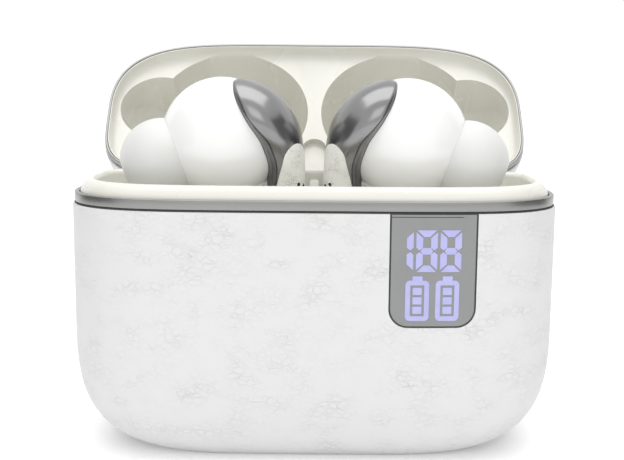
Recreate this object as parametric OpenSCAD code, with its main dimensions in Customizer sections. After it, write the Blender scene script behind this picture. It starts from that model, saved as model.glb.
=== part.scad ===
// Wireless earbuds charging pod with a hinged lid, open, two earbuds in place.
// Origin at the centre of the flat base, +Z up, the front faces -Y.

/* [Body] */
// Width of the closed pod
pod_w = 62; // [61.5:0.5:63]
// Depth of the closed pod
pod_d = 26; // [25.5:0.5:27]
// Height of the lower part, base to parting line
body_h = 33; // [32.8:0.2:34]
// Height of the lid above the parting line
lid_h = 17.2; // [17:0.2:18.6]
// Wall of the lower skin
skin_t = 1.2; // [1:0.1:1.3]
// Height of each metal rim strip
strip_h = 1.25; // [1.1:0.05:1.4]
// How far the tray lip stands above the parting line
lip_h = 1.55; // [1.3:0.05:1.6]

/* [Lid] */
// Angle that the lid is open
lid_open = 132; // [90:1:132]
// Wall of the lid skin
lid_skin_t = 0.75; // [0.6:0.05:0.8]
// Radius of the large hollow over an earbud head
lobe_r = 11.5; // [11.2:0.1:11.6]
// Radius of the small hollow over an ear tip
side_lobe_r = 5.9; // [5.8:0.1:6]

/* [Display] */
// Width of the display window
window_w = 10.5; // [10.2:0.1:10.8]
// Height of the display window below the rim strip
window_h = 13.8; // [13.7:0.1:14]
// Distance of the window from the middle
window_x = 14.3; // [13.8:0.1:14.5]

/* [Earbuds] */
// Radius of an earbud head
head_r = 8; // [7.8:0.1:8]
// Radius of an earbud stem
stem_r = 2.5; // [2.4:0.05:2.5]
// Length of the stem below the parting line
stem_len = 16.5; // [14:0.5:17]
// Outer radius of the silicone ear tip
tip_r = 5.4; // [5:0.1:5.5]

/* [Hidden] */
$fn = 48;
half_w = pod_w / 2;
half_d = pod_d / 2;
split_z = body_h;
// exponents of the pillow-shaped plan outline
plan_px = 5.1;
plan_front = 2.4;
plan_back = 5;
outline_n = 64;
strip_in = 0.25;
strip_t = 0.6;
groove_h = 0.2;
skin_top = split_z - strip_h - groove_h;
base_turn = 16.3;
base_reach = 17.2;
floor_t = 1.4;
fit = 0.1;
hinge_y = half_d - 0.1;
pin_r = 0.6;
knuckle_r = 1.2;
hinge_clear_r = 1.45;
hinge_half = 11;
centre_half = 5.2;
hinge_in = 1.6;
hinge_reach = 4.5;
stem_x = 3.65;
head_x = 12;
head_y = 1.2;
head_z = split_z + 6.35;
nozzle_tilt = 19;
nozzle_turn = 10;
stem_end = split_z - stem_len;
socket_r = stem_r + 0.3;
socket_out = socket_r + 0.8;
socket_floor = stem_end - 0.6;
tray_floor = split_z - 2.6;
pin_gap = 1.1;
window_t = 1.0;
board_y = 7.2;
board_t = 1.0;
usb_w = 8.9;
usb_h = 3.16;
usb_len = 7.3;
usb_z = 0.5;

// ---- outlines and lofts ----

// angle of outline point i, closer together along the flat front and back
function turn(i) = let(quarter = outline_n / 4, k = floor(i / quarter), u = (i % quarter) / quarter)
    k % 2 == 0 ? 90 * k + 90 * (1 - pow(1 - u, 1.6)) : 90 * k + 90 * pow(u, 1.6);
function signed_pow(v, e) = sign(v) * pow(abs(v), e);
// rounder along the front, squarer along the hinge side
function outline(a, b) = [for (i = [0:outline_n - 1])
    let(t = turn(i), e = i <= outline_n / 2 ? 2 / plan_back : 2 / plan_front)
        [a * signed_pow(cos(t), 2 / plan_px), b * signed_pow(sin(t), e)]];
function ring(a, b, z) = [for (p = outline(a, b)) [p[0], p[1], z]];

// closed solid through a list of rings with the same number of points
module loft(rings) {
    n = len(rings[0]);
    m = len(rings);
    sides = [for (j = [0:m - 2]) for (i = [0:n - 1]) let(k = (i + 1) % n)
        [j * n + i, (j + 1) * n + i, (j + 1) * n + k, j * n + k]];
    first_cap = [for (i = [0:n - 1]) i];
    last_cap = [for (i = [0:n - 1]) m * n - 1 - i];
    polyhedron(points = [for (r = rings) for (p = r) p],
        faces = concat(sides, [first_cap, last_cap]), convexity = 6);
}

module slab(inset, z0, z1) {
    translate([0, 0, z0]) linear_extrude(z1 - z0) polygon(outline(half_w - inset, half_d - inset));
}

// share of the full width and depth left at a height on the rounded base
function shrink(t, e, m) = pow(1 - pow(max(t, 0), e), 1 / m);
function body_ring(inset, turn_z, reach, z) = let(t = (turn_z - z) / reach)
    ring((half_w - inset) * shrink(t, 3, 5.1), (half_d - inset) * shrink(t, 3, 4.5), z);
function lid_ring(inset, z) = let(t = (z - split_z) / ((lid_h - inset) * 1.012))
    ring((half_w - inset) * shrink(t, 2.6, 3.4), (half_d - inset) * shrink(t, 2.6, 2.6), z);

lid_steps = [0.16, 0.3, 0.45, 0.6, 0.72, 0.82, 0.9, 0.96, 1];

module lid_dome(inset, z0) {
    loft(concat([lid_ring(inset, z0)],
        [for (s = lid_steps) lid_ring(inset, split_z + (lid_h - inset) * s)]));
}

// turns the lid's own closed-position geometry to its open angle
module opened() {
    translate([0, hinge_y, split_z]) rotate([-lid_open, 0, 0])
        translate([0, -hinge_y, -split_z]) children();
}

module box_between(low, high) {
    translate(low) cube([high[0] - low[0], high[1] - low[1], high[2] - low[2]]);
}

module rod_x(r, x0, x1, y, z) {
    translate([x0, y, z]) rotate([0, 90, 0]) cylinder(r = r, h = x1 - x0);
}

module rod_y(r, y0, y1, x, z) {
    translate([x, y1, z]) rotate([90, 0, 0]) cylinder(r = r, h = y1 - y0);
}

// ---- lower part ----

module hinge_slot() {
    box_between([-hinge_half - 0.1, half_d - hinge_in - 0.05, split_z - hinge_reach - 0.05],
        [hinge_half + 0.1, half_d + 1, split_z + 3]);
    rod_x(hinge_clear_r, -hinge_half - 0.1, hinge_half + 0.1, hinge_y, split_z);
}

module window_prism(grow) {
    corner = 2.3 + grow;
    x0 = window_x - window_w / 2 - grow;
    x1 = window_x + window_w / 2 + grow;
    z0 = skin_top - window_h - grow;
    box_between([x0, -half_d - 1, z0 + corner], [x1, -half_d + 4, skin_top]);
    box_between([x0 + corner, -half_d - 1, z0], [x1 - corner, -half_d + 4, skin_top]);
    rod_y(corner, -half_d - 1, -half_d + 4, x0 + corner, z0 + corner);
    rod_y(corner, -half_d - 1, -half_d + 4, x1 - corner, z0 + corner);
}

module usb_prism(grow, z0, z1) {
    r = usb_h / 2 + grow;
    half = usb_w / 2 - usb_h / 2;
    box_between([-half, -r, z0], [half, r, z1]);
    for (x = [-half, half]) translate([x, 0, z0]) cylinder(r = r, h = z1 - z0);
}

module outer_skin() color("white") difference() {
    loft(concat(
        [for (z = [0, 0.5, 1.3, 2.5, 4.2, 6.4, 9.2, 12.6, base_turn])
            body_ring(0, base_turn, base_reach, z)],
        [body_ring(0, base_turn, base_reach, skin_top),
            body_ring(skin_t, base_turn, base_reach - floor_t, skin_top)],
        [for (z = [base_turn, 11.5, 7.6, 4.8, 2.9, floor_t])
            body_ring(skin_t, base_turn, base_reach - floor_t, z)]));
    window_prism(0.05);
    hinge_slot();
    usb_prism(0.1, -1, floor_t + 1);
}

module rim_strip() color("silver") difference() {
    slab(strip_in, split_z - strip_h, split_z);
    slab(strip_in + strip_t, split_z - strip_h - 1, split_z + 1);
    hinge_slot();
}

module seam_gasket() color("black") difference() {
    slab(0.3, skin_top + 0.02, split_z - strip_h - 0.02);
    slab(0.56, skin_top - 1, split_z);
    hinge_slot();
}

module sockets(r, z0, z1) {
    for (x = [-stem_x, stem_x]) translate([x, 0, z0]) cylinder(r = r, h = z1 - z0);
}

boss_x = 20;
boss_z = 24;
module screw_boss(x) {
    rod_y(1.8, 3.4, board_y - 0.05, x, boss_z);
    box_between([x - 1, 3.4, boss_z], [x + 1, board_y - 0.05, tray_floor - 0.6]);
}

module inner_tray() color("ivory") difference() {
    union() {
        // lip that slopes up inside the rim strip
        loft([ring(half_w - 0.95, half_d - 0.95, split_z - strip_h),
            ring(half_w - 0.95, half_d - 0.95, split_z),
            ring(half_w - 1.5, half_d - 1.5, split_z + lip_h * 0.7),
            ring(half_w - 1.9, half_d - 1.9, split_z + lip_h * 0.94),
            ring(half_w - 2.3, half_d - 2.3, split_z + lip_h)]);
        slab(0.6, skin_top + 0.03, split_z - strip_h);
        slab(skin_t + fit, tray_floor - 1.2, skin_top + 0.03);
        sockets(socket_out, socket_floor - 1, tray_floor);
        screw_boss(-boss_x);
        screw_boss(boss_x);
    }
    // wide hollow under both earbud heads, with a bridge between the stems
    difference() {
        slab(2.95, tray_floor, split_z + 3);
        box_between([-0.7, -half_d, tray_floor - 1], [0.7, half_d, split_z + 0.1]);
    }
    sockets(socket_r, socket_floor, split_z + 3);
    for (s = [-1, 1], p = [-1, 1]) translate([s * stem_x + p * pin_gap, 0, socket_floor - 2])
        cylinder(r = 0.5, h = 4);
    for (x = [-boss_x, boss_x]) rod_y(0.62, 3.9, board_y + 1, x, boss_z);
    hinge_slot();
}

module window_ring(inset, thick) {
    difference() {
        slab(inset, skin_top - window_h - 2, skin_top - 0.02);
        slab(inset + thick, skin_top - window_h - 3, skin_top + 1);
    }
}

module slot_xz(x0, x1, z0, z1) {
    box_between([x0, -half_d - 1, z0], [x1, -half_d + 3, z1]);
}

digit_top = split_z - 3.35;
digit_h = 5.05;
stroke = 0.78;
digit_left = window_x - 3.24;
// one lit figure built from its outer block less two counters
module figure_block(x, w, counters) {
    difference() {
        slot_xz(x, x + w, digit_top - digit_h, digit_top);
        if (counters) {
            slot_xz(x + stroke, x + w - stroke, digit_top - digit_h / 2 + stroke / 2, digit_top - stroke);
            slot_xz(x + stroke, x + w - stroke, digit_top - digit_h + stroke,
                digit_top - digit_h / 2 - stroke / 2);
        }
    }
}

module digit_prisms() {
    figure_block(digit_left, stroke, false);
    figure_block(digit_left + 1.13, 2.56, true);
    figure_block(digit_left + 4.02, 2.56, true);
}

icon_top = split_z - 9.45;
icon_h = 5.05;
icon_w = 2.85;
// one battery symbol: outline, cap and three charge bars
module icon_block(x) {
    edge = 0.6;
    difference() {
        slot_xz(x, x + icon_w, icon_top - icon_h, icon_top);
        slot_xz(x + edge, x + icon_w - edge, icon_top - icon_h + edge, icon_top - edge);
    }
    slot_xz(x + 0.8, x + icon_w - 0.8, icon_top, icon_top + 0.5);
    for (k = [0:2]) slot_xz(x + edge + 0.28, x + icon_w - edge - 0.28,
        icon_top - 1.75 - 1.15 * k, icon_top - 0.9 - 1.15 * k);
}

module icon_prisms() {
    icon_block(window_x - 3.3);
    icon_block(window_x + 0.33);
}

module display_window() color("gray") difference() {
    intersection() {
        window_prism(0);
        window_ring(0, window_t);
    }
    intersection() {
        window_ring(-0.5, window_t - 0.2 + 0.5);
        union() {
            digit_prisms();
            icon_prisms();
        }
    }
}

module display_digits() color("lavender") intersection() {
    window_ring(0, window_t - 0.22);
    digit_prisms();
}

module display_icons() color("lavender") intersection() {
    window_ring(0, window_t - 0.22);
    icon_prisms();
}

module display_module() color("white")
    box_between([window_x - 4.6, -half_d + 2.2, skin_top - window_h + 0.8],
        [window_x + 4.6, -half_d + 4, split_z - 4]);

module battery_cell() color("silver")
    box_between([-25, -8.2, 9], [-9.5, -0.7, 27]);

module battery_leads() color("red") for (x = [-20, -17])
    rod_y(0.45, -0.68, board_y - 0.02, x, 20);

module main_board() color("green") difference() {
    box_between([-26, board_y, 8.5], [26, board_y + board_t, 27]);
    for (x = [-boss_x, boss_x]) rod_y(0.75, board_y - 1, board_y + 3, x, boss_z);
}

module board_parts() color("black") {
    box_between([-4, board_y + board_t, 15], [2, board_y + board_t + 0.9, 21]);
    box_between([5, board_y + board_t, 12], [9, board_y + board_t + 1.6, 16]);
    box_between([-12, board_y + board_t, 12], [-9, board_y + board_t + 0.8, 15]);
    box_between([12, board_y + board_t, 19], [15, board_y + board_t + 0.8, 21]);
}

module board_screws() color("silver") for (x = [-boss_x, boss_x]) {
    rod_y(0.6, 4.1, board_y + board_t + 0.1, x, boss_z);
    difference() {
        rod_y(1.2, board_y + board_t, board_y + board_t + 0.8, x, boss_z);
        box_between([x - 0.15, board_y + board_t + 0.5, boss_z - 0.9],
            [x + 0.15, board_y + board_t + 1, boss_z + 0.9]);
        box_between([x - 0.9, board_y + board_t + 0.5, boss_z - 0.15],
            [x + 0.9, board_y + board_t + 1, boss_z + 0.15]);
    }
}

module port_board() color("green")
    box_between([-7, usb_h / 2 + 0.02, 2.6], [7, usb_h / 2 + 0.82, 10.4]);

module usb_receptacle() color("silver") difference() {
    usb_prism(0, usb_z, usb_z + usb_len);
    usb_prism(-0.3, usb_z - 1, usb_z + usb_len - 0.3);
}

module usb_tongue() color("black")
    box_between([-3.3, -0.35, usb_z + 0.6], [3.3, 0.35, usb_z + usb_len - 0.3]);

module display_flex() color("orange")
    box_between([12, -half_d + 4, 20.4], [16, board_y, 20.6]);

module port_flex() color("orange")
    box_between([-3, usb_h / 2 + 0.82, 9.6], [3, board_y, 9.8]);

carrier_top = socket_floor - 1.02;
carrier_low = carrier_top - 3.1;
module contact_flex() color("orange")
    box_between([-7, -1, carrier_low - 0.25], [7, board_y, carrier_low - 0.02]);

module pin_carriers() color("black") for (s = [-1, 1]) difference() {
    box_between([s * stem_x - 2.6, -1.6, carrier_low], [s * stem_x + 2.6, 1.6, carrier_top]);
    for (p = [-1, 1]) translate([s * stem_x + p * pin_gap, 0, 0]) {
        translate([0, 0, carrier_low + 0.4]) cylinder(r = 0.45, h = 5);
        translate([0, 0, carrier_top - 1.2]) cylinder(r = 0.72, h = 5);
    }
}

// spring contact: rounded tip, shank and a collar that stops under the tray
module spring_pin(x) color("gold") translate([x, 0, 0]) {
    translate([0, 0, stem_end - 0.45]) sphere(r = 0.4);
    translate([0, 0, carrier_low + 1.2]) cylinder(r = 0.4, h = stem_end - 0.45 - carrier_low - 1.2);
    translate([0, 0, carrier_top - 0.4]) cylinder(r = 0.65, h = 0.36);
}

module left_inner_pin() spring_pin(-stem_x + pin_gap);
module left_outer_pin() spring_pin(-stem_x - pin_gap);
module right_inner_pin() spring_pin(stem_x - pin_gap);
module right_outer_pin() spring_pin(stem_x + pin_gap);

module socket_magnets() color("dimgray") for (x = [-stem_x, stem_x])
    translate([x, -socket_out - 1.7, stem_end + 1]) cylinder(r = 1.6, h = 4.5);

module body_catch_magnet() color("dimgray")
    box_between([-2.4, -11.2, split_z - 6.6], [2.4, -9, tray_floor - 1.22]);

// ---- hinge ----

module hinge_half_block(z0, z1) {
    box_between([-hinge_half, half_d - hinge_in, z0], [hinge_half, half_d, z1]);
}

module hinge_base() color("silver") difference() {
    union() {
        difference() {
            hinge_half_block(split_z - hinge_reach, split_z - 0.3);
            rod_x(hinge_clear_r, -centre_half - 0.1, centre_half + 0.1, hinge_y, split_z);
        }
        rod_x(knuckle_r, -hinge_half, -centre_half - 0.1, hinge_y, split_z);
        rod_x(knuckle_r, centre_half + 0.1, hinge_half, hinge_y, split_z);
    }
    rod_x(pin_r, -hinge_half - 1, hinge_half + 1, hinge_y, split_z);
}

module hinge_rod() color("gray")
    rod_x(pin_r, -hinge_half + 0.1, hinge_half - 0.1, hinge_y, split_z);

module hinge_leaf() color("silver") opened() difference() {
    union() {
        difference() {
            hinge_half_block(split_z + 0.3, split_z + hinge_reach);
            rod_x(hinge_clear_r, -hinge_half - 1, -centre_half, hinge_y, split_z);
            rod_x(hinge_clear_r, centre_half, hinge_half + 1, hinge_y, split_z);
        }
        rod_x(knuckle_r, -centre_half, centre_half, hinge_y, split_z);
    }
    rod_x(pin_r + 0.05, -hinge_half - 1, hinge_half + 1, hinge_y, split_z);
}

// ---- lid, drawn closed and then opened ----

module leaf_slot() {
    box_between([-hinge_half - 0.1, half_d - hinge_in - 0.05, split_z - 2],
        [hinge_half + 0.1, half_d + 1, split_z + hinge_reach + 0.05]);
    rod_x(hinge_clear_r, -hinge_half - 0.1, hinge_half + 0.1, hinge_y, split_z);
}

module lid_skin() color("white") opened() difference() {
    loft(concat(
        [for (i = [len(lid_steps) - 1:-1:0])
            lid_ring(lid_skin_t, split_z + (lid_h - lid_skin_t) * lid_steps[i])],
        [lid_ring(lid_skin_t, split_z + strip_h + 0.02), lid_ring(0, split_z + strip_h + 0.02)],
        [for (s = lid_steps) lid_ring(0, split_z + lid_h * s)]));
    leaf_slot();
}

module lid_strip() color("silver") opened() difference() {
    slab(strip_in, split_z, split_z + strip_h);
    slab(strip_in + strip_t, split_z - 1, split_z + strip_h + 1);
    leaf_slot();
}

module lobes(grow, z0) {
    for (s = [-1, 1]) {
        translate([s * 12.4, -0.4, z0]) cylinder(r = lobe_r + grow, h = lid_h + 2);
        translate([s * 23.5, -0.9, z0]) cylinder(r = side_lobe_r + grow, h = lid_h + 2);
    }
}

plate_t = 1.5;
plate_low = lip_h + 0.35;
liner_out = 0.9;
liner_low = 0.95;
hollow_in = 1.3;
web_half = 0.8;
web_reach = 4.3;
module web_block(gap) {
    box_between([-web_half - gap, -web_reach - gap, split_z - 1],
        [web_half + gap, web_reach + gap, split_z + lid_h]);
}

module liner_form() difference() {
    intersection() {
        lid_dome(liner_out, split_z + liner_low);
        union() {
            slab(-1, split_z, split_z + plate_low + plate_t);
            lobes(0.8, split_z);
            web_block(0);
        }
    }
    // room for the tray lip when the lid is shut
    loft([ring(half_w - 0.66, half_d - 0.66, split_z - 1),
        ring(half_w - 0.66, half_d - 0.66, split_z + 0.14),
        ring(half_w - 1.22, half_d - 1.22, split_z + lip_h * 0.7 + 0.15),
        ring(half_w - 1.66, half_d - 1.66, split_z + lip_h * 0.94 + 0.22),
        ring(half_w - 2.3, half_d - 2.3, split_z + plate_low)]);
    intersection() {
        lid_dome(hollow_in, split_z - 0.5);
        union() {
            lobes(0, split_z - 1);
            // straight sides on the bar between the hollows
            for (s = [-1, 1]) box_between([s * (web_half + 0.7) - 0.7, -web_reach, split_z - 1],
                [s * (web_half + 0.7) + 0.7, web_reach, split_z + lid_h]);
        }
    }
    // scoop beside the hinge
    translate([0, 6.2, split_z]) cylinder(r = 1.8, h = plate_low + 1);
    box_between([-1.8, 6.2, split_z], [1.8, 8.7, split_z + plate_low + 1]);
    leaf_slot();
}

module lid_web() color("ivory") opened() intersection() {
    liner_form();
    web_block(0);
}

module left_lid_pocket() color("ivory") opened() difference() {
    liner_form();
    web_block(0.01);
    box_between([-0.01, -half_d, split_z - 1], [half_w, half_d, split_z + lid_h]);
}

module right_lid_pocket() color("ivory") opened() difference() {
    liner_form();
    web_block(0.01);
    box_between([-half_w, -half_d, split_z - 1], [0.01, half_d, split_z + lid_h]);
}

module lid_catch_magnet() color("dimgray") opened()
    box_between([-2.4, -10.9, split_z + plate_low + 0.02 + plate_t], [2.4, -8.9, split_z + 6]);

// ---- earbuds, drawn for the left and mirrored for the right ----

// height above the parting line, then the section's left edge, widest line, right edge and half depth
stem_path = [[-stem_len, -stem_x - stem_r, -stem_x, -stem_x + stem_r, stem_r],
    [0, -stem_x - stem_r, -stem_x, -stem_x + stem_r, stem_r],
    [1.9, -6.25, -3.8, -1.2, 3.1], [3.7, -6.45, -4.2, -1.3, 4.15],
    [6.3, -7.35, -5.3, -1.55, 5.5], [8.4, -8.7, -6.8, -2.05, 6.15],
    [10.2, -9.7, -7.8, -3, 5.95], [11.8, -10.3, -8.5, -4.3, 5.2], [13, -10.5, -9, -5.8, 3.9],
    [13.8, -10.4, -9.4, -7.6, 2.3], [14.15, -9.9, -9.5, -8.9, 1]];
stem_n = 28;
// round at the stem, squarer towards the head where it lies in the head's surface
function stem_ring(k, grow, lift) = let(s = stem_path[k])
    [for (i = [0:stem_n - 1]) let(c = cos(360 * i / stem_n), d = sin(360 * i / stem_n),
        e = c < 0 && k > 2 ? 0.6 : 1, reach = (c < 0 ? s[2] - s[1] : s[3] - s[2]) + grow)
        [s[2] + reach * signed_pow(c, e), (s[4] + grow) * signed_pow(d, e), split_z + s[0] + lift]];

module stem_form(grow, first_lift) {
    loft([for (k = [0:len(stem_path) - 1]) stem_ring(k, grow,
        k == 0 ? first_lift : (k == len(stem_path) - 1 ? grow : 0))]);
}

// turns local +Z to the nozzle direction from the middle of the head
module along_nozzle() {
    translate([-head_x, head_y, head_z]) rotate([0, 0, nozzle_turn])
        rotate([0, -90 - nozzle_tilt, 0]) children();
}

// round shell and nozzle turned as one profile about the nozzle's axis
module head_form() {
    along_nozzle() rotate_extrude() difference() {
        union() {
            difference() {
                circle(r = head_r);
                circle(r = head_r - 0.9);
            }
            translate([1.5, head_r - 1]) square([1, 4]);
        }
        translate([0, head_r - 2]) square([1.9, 8]);
        translate([-2 * head_r, -2 * head_r]) square([2 * head_r, 4 * head_r]);
    }
}

module head_housing() color("white") difference() {
    head_form();
    stem_form(0.03, -1);
}

inlay_turn = 24;
inlay_half = 2;
module inlay_prism(grow) {
    w = inlay_half + grow;
    low = split_z - 10 - grow;
    top = split_z + 4.1;
    translate([-stem_x, 0, 0]) rotate([0, 0, inlay_turn]) {
        box_between([-w, -9, low + w], [w, -0.9, top]);
        rod_y(w, -9, -0.9, 0, low + w);
        rod_y(w, -9, -0.9, 0, top);
    }
}

// round port through the inlay and the cover, turned towards the middle
module mic_port(r, y0, y1) {
    translate([-stem_x, 0, split_z + 0.75]) rotate([0, 0, 39]) rod_y(r, y0, y1, 0, 0);
}

module inlay_shell(outer, inner) {
    difference() {
        stem_form(outer, 0);
        stem_form(-inner, -1);
    }
}

module stem_cover() color("gray") difference() {
    stem_form(0, 0.92);
    translate([-stem_x, 0, stem_end - 1]) cylinder(r = stem_r - 0.75, h = stem_len + 5);
    intersection() {
        inlay_shell(0.5, 0.42);
        inlay_prism(0.04);
    }
    mic_port(0.27, -stem_r - 1, -1.5);
}

module stem_inlay() color("white") difference() {
    intersection() {
        inlay_shell(0.04, 0.4);
        inlay_prism(0);
    }
    mic_port(0.27, -stem_r - 1, -1.5);
}

// umbrella-shaped tip: sleeve on the nozzle and a folded-back skirt
tip_base = head_r + 0.45;
tip_top = head_r + 5.75;
function tip_arc(r, z_top, z_low) = [for (k = [0:8]) let(a = 90 - 78 * k / 8)
    [1.9 + (r - 1.9) * cos(a), z_low + (z_top - z_low) * sin(a)]];
module ear_tip() color("gainsboro") along_nozzle() rotate_extrude() {
    outer = tip_arc(tip_r, tip_top, tip_base - 1);
    inner = tip_arc(tip_r - 0.6, tip_top - 0.7, tip_base - 1);
    polygon(concat([[2.55, tip_base + 0.2]], [[2.55, head_r + 3.1], [1.9, head_r + 3.1]], outer,
        [for (k = [8:-1:3]) inner[k]], [[3.2, tip_top - 1.9], [3.2, tip_base + 0.2]]));
}

module nozzle_mesh() color("dimgray") along_nozzle()
    translate([0, 0, head_r + 2.7]) cylinder(r = 1.88, h = 0.25);

module speaker() color("black") along_nozzle()
    translate([0, 0, 2.6]) cylinder(r = 5, h = 2.4);

module bud_cell() color("silver") along_nozzle()
    translate([0, 0, -1.4]) cylinder(r = 4.2, h = 3.6);

module bud_board() color("green")
    box_between([-stem_x - 1.3, -0.3, stem_end + 2], [-stem_x + 1.3, 0.3, split_z + 3.5]);

module stem_cap() color("white") difference() {
    translate([-stem_x, 0, stem_end]) cylinder(r = stem_r, h = 0.9);
    for (p = [-1, 1]) translate([-stem_x + p * pin_gap, 0, stem_end - 1]) cylinder(r = 0.6, h = 3);
}

module contacts() color("gold") for (p = [-1, 1])
    translate([-stem_x + p * pin_gap, 0, stem_end + 0.02]) cylinder(r = 0.58, h = 0.8);

module microphone() color("black") mic_port(0.25, -stem_r + 0.1, -1.72);

module on_right() { mirror([1, 0, 0]) children(); }

module left_head_housing() head_housing();
module left_stem_cover() stem_cover();
module left_inlay() stem_inlay();
module left_ear_tip() ear_tip();
module left_nozzle_mesh() nozzle_mesh();
module left_speaker() speaker();
module left_bud_cell() bud_cell();
module left_bud_board() bud_board();
module left_stem_cap() stem_cap();
module left_contacts() contacts();
module left_microphone() microphone();
module right_head_housing() on_right() head_housing();
module right_stem_cover() on_right() stem_cover();
module right_inlay() on_right() stem_inlay();
module right_ear_tip() on_right() ear_tip();
module right_nozzle_mesh() on_right() nozzle_mesh();
module right_speaker() on_right() speaker();
module right_bud_cell() on_right() bud_cell();
module right_bud_board() on_right() bud_board();
module right_stem_cap() on_right() stem_cap();
module right_contacts() on_right() contacts();
module right_microphone() on_right() microphone();

outer_skin();
rim_strip();
seam_gasket();
inner_tray();
display_window();
display_digits();
display_icons();
display_module();
battery_cell();
battery_leads();
main_board();
board_parts();
board_screws();
port_board();
usb_receptacle();
usb_tongue();
display_flex();
port_flex();
contact_flex();
pin_carriers();
socket_magnets();
body_catch_magnet();
left_inner_pin();
left_outer_pin();
right_inner_pin();
right_outer_pin();
hinge_base();
hinge_rod();
hinge_leaf();
lid_skin();
lid_strip();
lid_web();
left_lid_pocket();
right_lid_pocket();
lid_catch_magnet();
left_head_housing();
left_stem_cover();
left_inlay();
left_ear_tip();
left_nozzle_mesh();
left_speaker();
left_bud_cell();
left_bud_board();
left_stem_cap();
left_contacts();
left_microphone();
right_head_housing();
right_stem_cover();
right_inlay();
right_ear_tip();
right_nozzle_mesh();
right_speaker();
right_bud_cell();
right_bud_board();
right_stem_cap();
right_contacts();
right_microphone();
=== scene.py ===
import math

import bmesh
import bpy
from mathutils import Matrix


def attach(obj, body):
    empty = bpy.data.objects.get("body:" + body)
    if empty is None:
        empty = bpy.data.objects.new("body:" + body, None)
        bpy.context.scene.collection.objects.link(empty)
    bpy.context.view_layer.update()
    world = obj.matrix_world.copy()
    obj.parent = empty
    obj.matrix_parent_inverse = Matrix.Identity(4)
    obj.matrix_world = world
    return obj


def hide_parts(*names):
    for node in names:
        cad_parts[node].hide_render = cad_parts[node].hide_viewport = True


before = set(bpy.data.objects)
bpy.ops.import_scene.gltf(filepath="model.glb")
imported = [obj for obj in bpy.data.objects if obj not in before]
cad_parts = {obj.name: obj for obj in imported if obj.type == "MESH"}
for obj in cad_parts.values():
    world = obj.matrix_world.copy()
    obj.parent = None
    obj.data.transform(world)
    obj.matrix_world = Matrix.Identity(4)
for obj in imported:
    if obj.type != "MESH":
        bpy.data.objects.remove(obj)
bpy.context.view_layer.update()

# ---- The table, the light and the camera ----
# A pale seamless table under one wide soft overhead light, with a weaker one beside the camera.
# Unlit grey screens stand at both sides, so that white edges keep their shading.

scene = bpy.context.scene
scene.view_settings.view_transform = "Standard"


def add_node(tree, kind, settings=None, feeds=None):
    """Adds a shader node with its settings, and links or sets its inputs."""
    node = tree.nodes.new(kind)
    for key, value in (settings or {}).items():
        setattr(node, key, value)
    for socket, source in (feeds or {}).items():
        if isinstance(source, bpy.types.NodeSocket):
            tree.links.new(source, node.inputs[socket])
        else:
            node.inputs[socket].default_value = source
    return node


def new_effect(name, inputs):
    """A shader node group that turns plain numbers into a Mask and a Height."""
    effect = bpy.data.node_groups.new(name, "ShaderNodeTree")
    for label, value in inputs.items():
        socket = effect.interface.new_socket(label, in_out="INPUT", socket_type="NodeSocketFloat")
        socket.default_value = value
    for label in ("Mask", "Height"):
        effect.interface.new_socket(label, in_out="OUTPUT", socket_type="NodeSocketFloat")
    return effect, effect.nodes.new("NodeGroupInput"), effect.nodes.new("NodeGroupOutput")


# moulded surfaces: a broad faint mottle and a very fine orange peel
moulded, given, result = new_effect("moulded_surface", {"Mottle": 90.0, "Peel": 1800.0})
place = add_node(moulded, "ShaderNodeTexCoord").outputs["Object"]
cloud = add_node(moulded, "ShaderNodeTexNoise", None,
                 {"Vector": place, "Scale": given.outputs["Mottle"], "Detail": 3.0})
peel = add_node(moulded, "ShaderNodeTexNoise", None,
                {"Vector": place, "Scale": given.outputs["Peel"], "Detail": 1.0})
spread = add_node(moulded, "ShaderNodeMapRange", None,
                  {"Value": cloud.outputs["Fac"], "From Min": 0.35, "From Max": 0.65})
moulded.links.new(spread.outputs["Result"], result.inputs["Mask"])
moulded.links.new(peel.outputs["Fac"], result.inputs["Height"])


def make_finish(name, effect, values, tones, roughness, relief, constants=None, glow=False):
    """A procedural material: the effect's Mask mixes two tones and two roughnesses, its Height is the relief."""
    material = bpy.data.materials.new(name)
    material.use_nodes = True
    tree = material.node_tree
    shader = tree.nodes["Principled BSDF"]
    pattern = add_node(tree, "ShaderNodeGroup", {"node_tree": effect}, values)
    tint = add_node(tree, "ShaderNodeMix", {"data_type": "RGBA"})
    tree.links.new(pattern.outputs["Mask"], tint.inputs[0])
    tint.inputs[6].default_value = (*tones[0], 1)
    tint.inputs[7].default_value = (*tones[1], 1)
    tree.links.new(tint.outputs[2], shader.inputs["Emission Color" if glow else "Base Color"])
    dull = add_node(tree, "ShaderNodeMapRange", None,
                    {"Value": pattern.outputs["Mask"], "To Min": roughness[0], "To Max": roughness[1]})
    tree.links.new(dull.outputs["Result"], shader.inputs["Roughness"])
    bump = add_node(tree, "ShaderNodeBump", None,
                    {"Height": pattern.outputs["Height"], "Distance": relief, "Strength": 1.0})
    tree.links.new(bump.outputs["Normal"], shader.inputs["Normal"])
    for socket, value in (constants or {}).items():
        shader.inputs[socket].default_value = value
    return material


table_finish = make_finish("pale_table", moulded, {"Mottle": 3.0, "Peel": 300.0},
                           ((0.93, 0.93, 0.93), (0.95, 0.95, 0.95)), (0.8, 0.9), 0.00002,
                           {"Specular IOR Level": 0.1, "Emission Color": (1, 1, 1, 1), "Emission Strength": 0.12})
bpy.ops.object.select_all(action="DESELECT")
bpy.ops.mesh.primitive_plane_add(size=8, location=(0, 0, 0))
table = bpy.context.object
table.name = "table_top"
table.data.materials.append(table_finish)

studio = bpy.data.worlds.new("studio")
scene.world = studio
studio.use_nodes = True
studio.node_tree.nodes["Background"].inputs["Color"].default_value = (1, 1, 1, 1)
studio.node_tree.nodes["Background"].inputs["Strength"].default_value = 1.03


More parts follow.
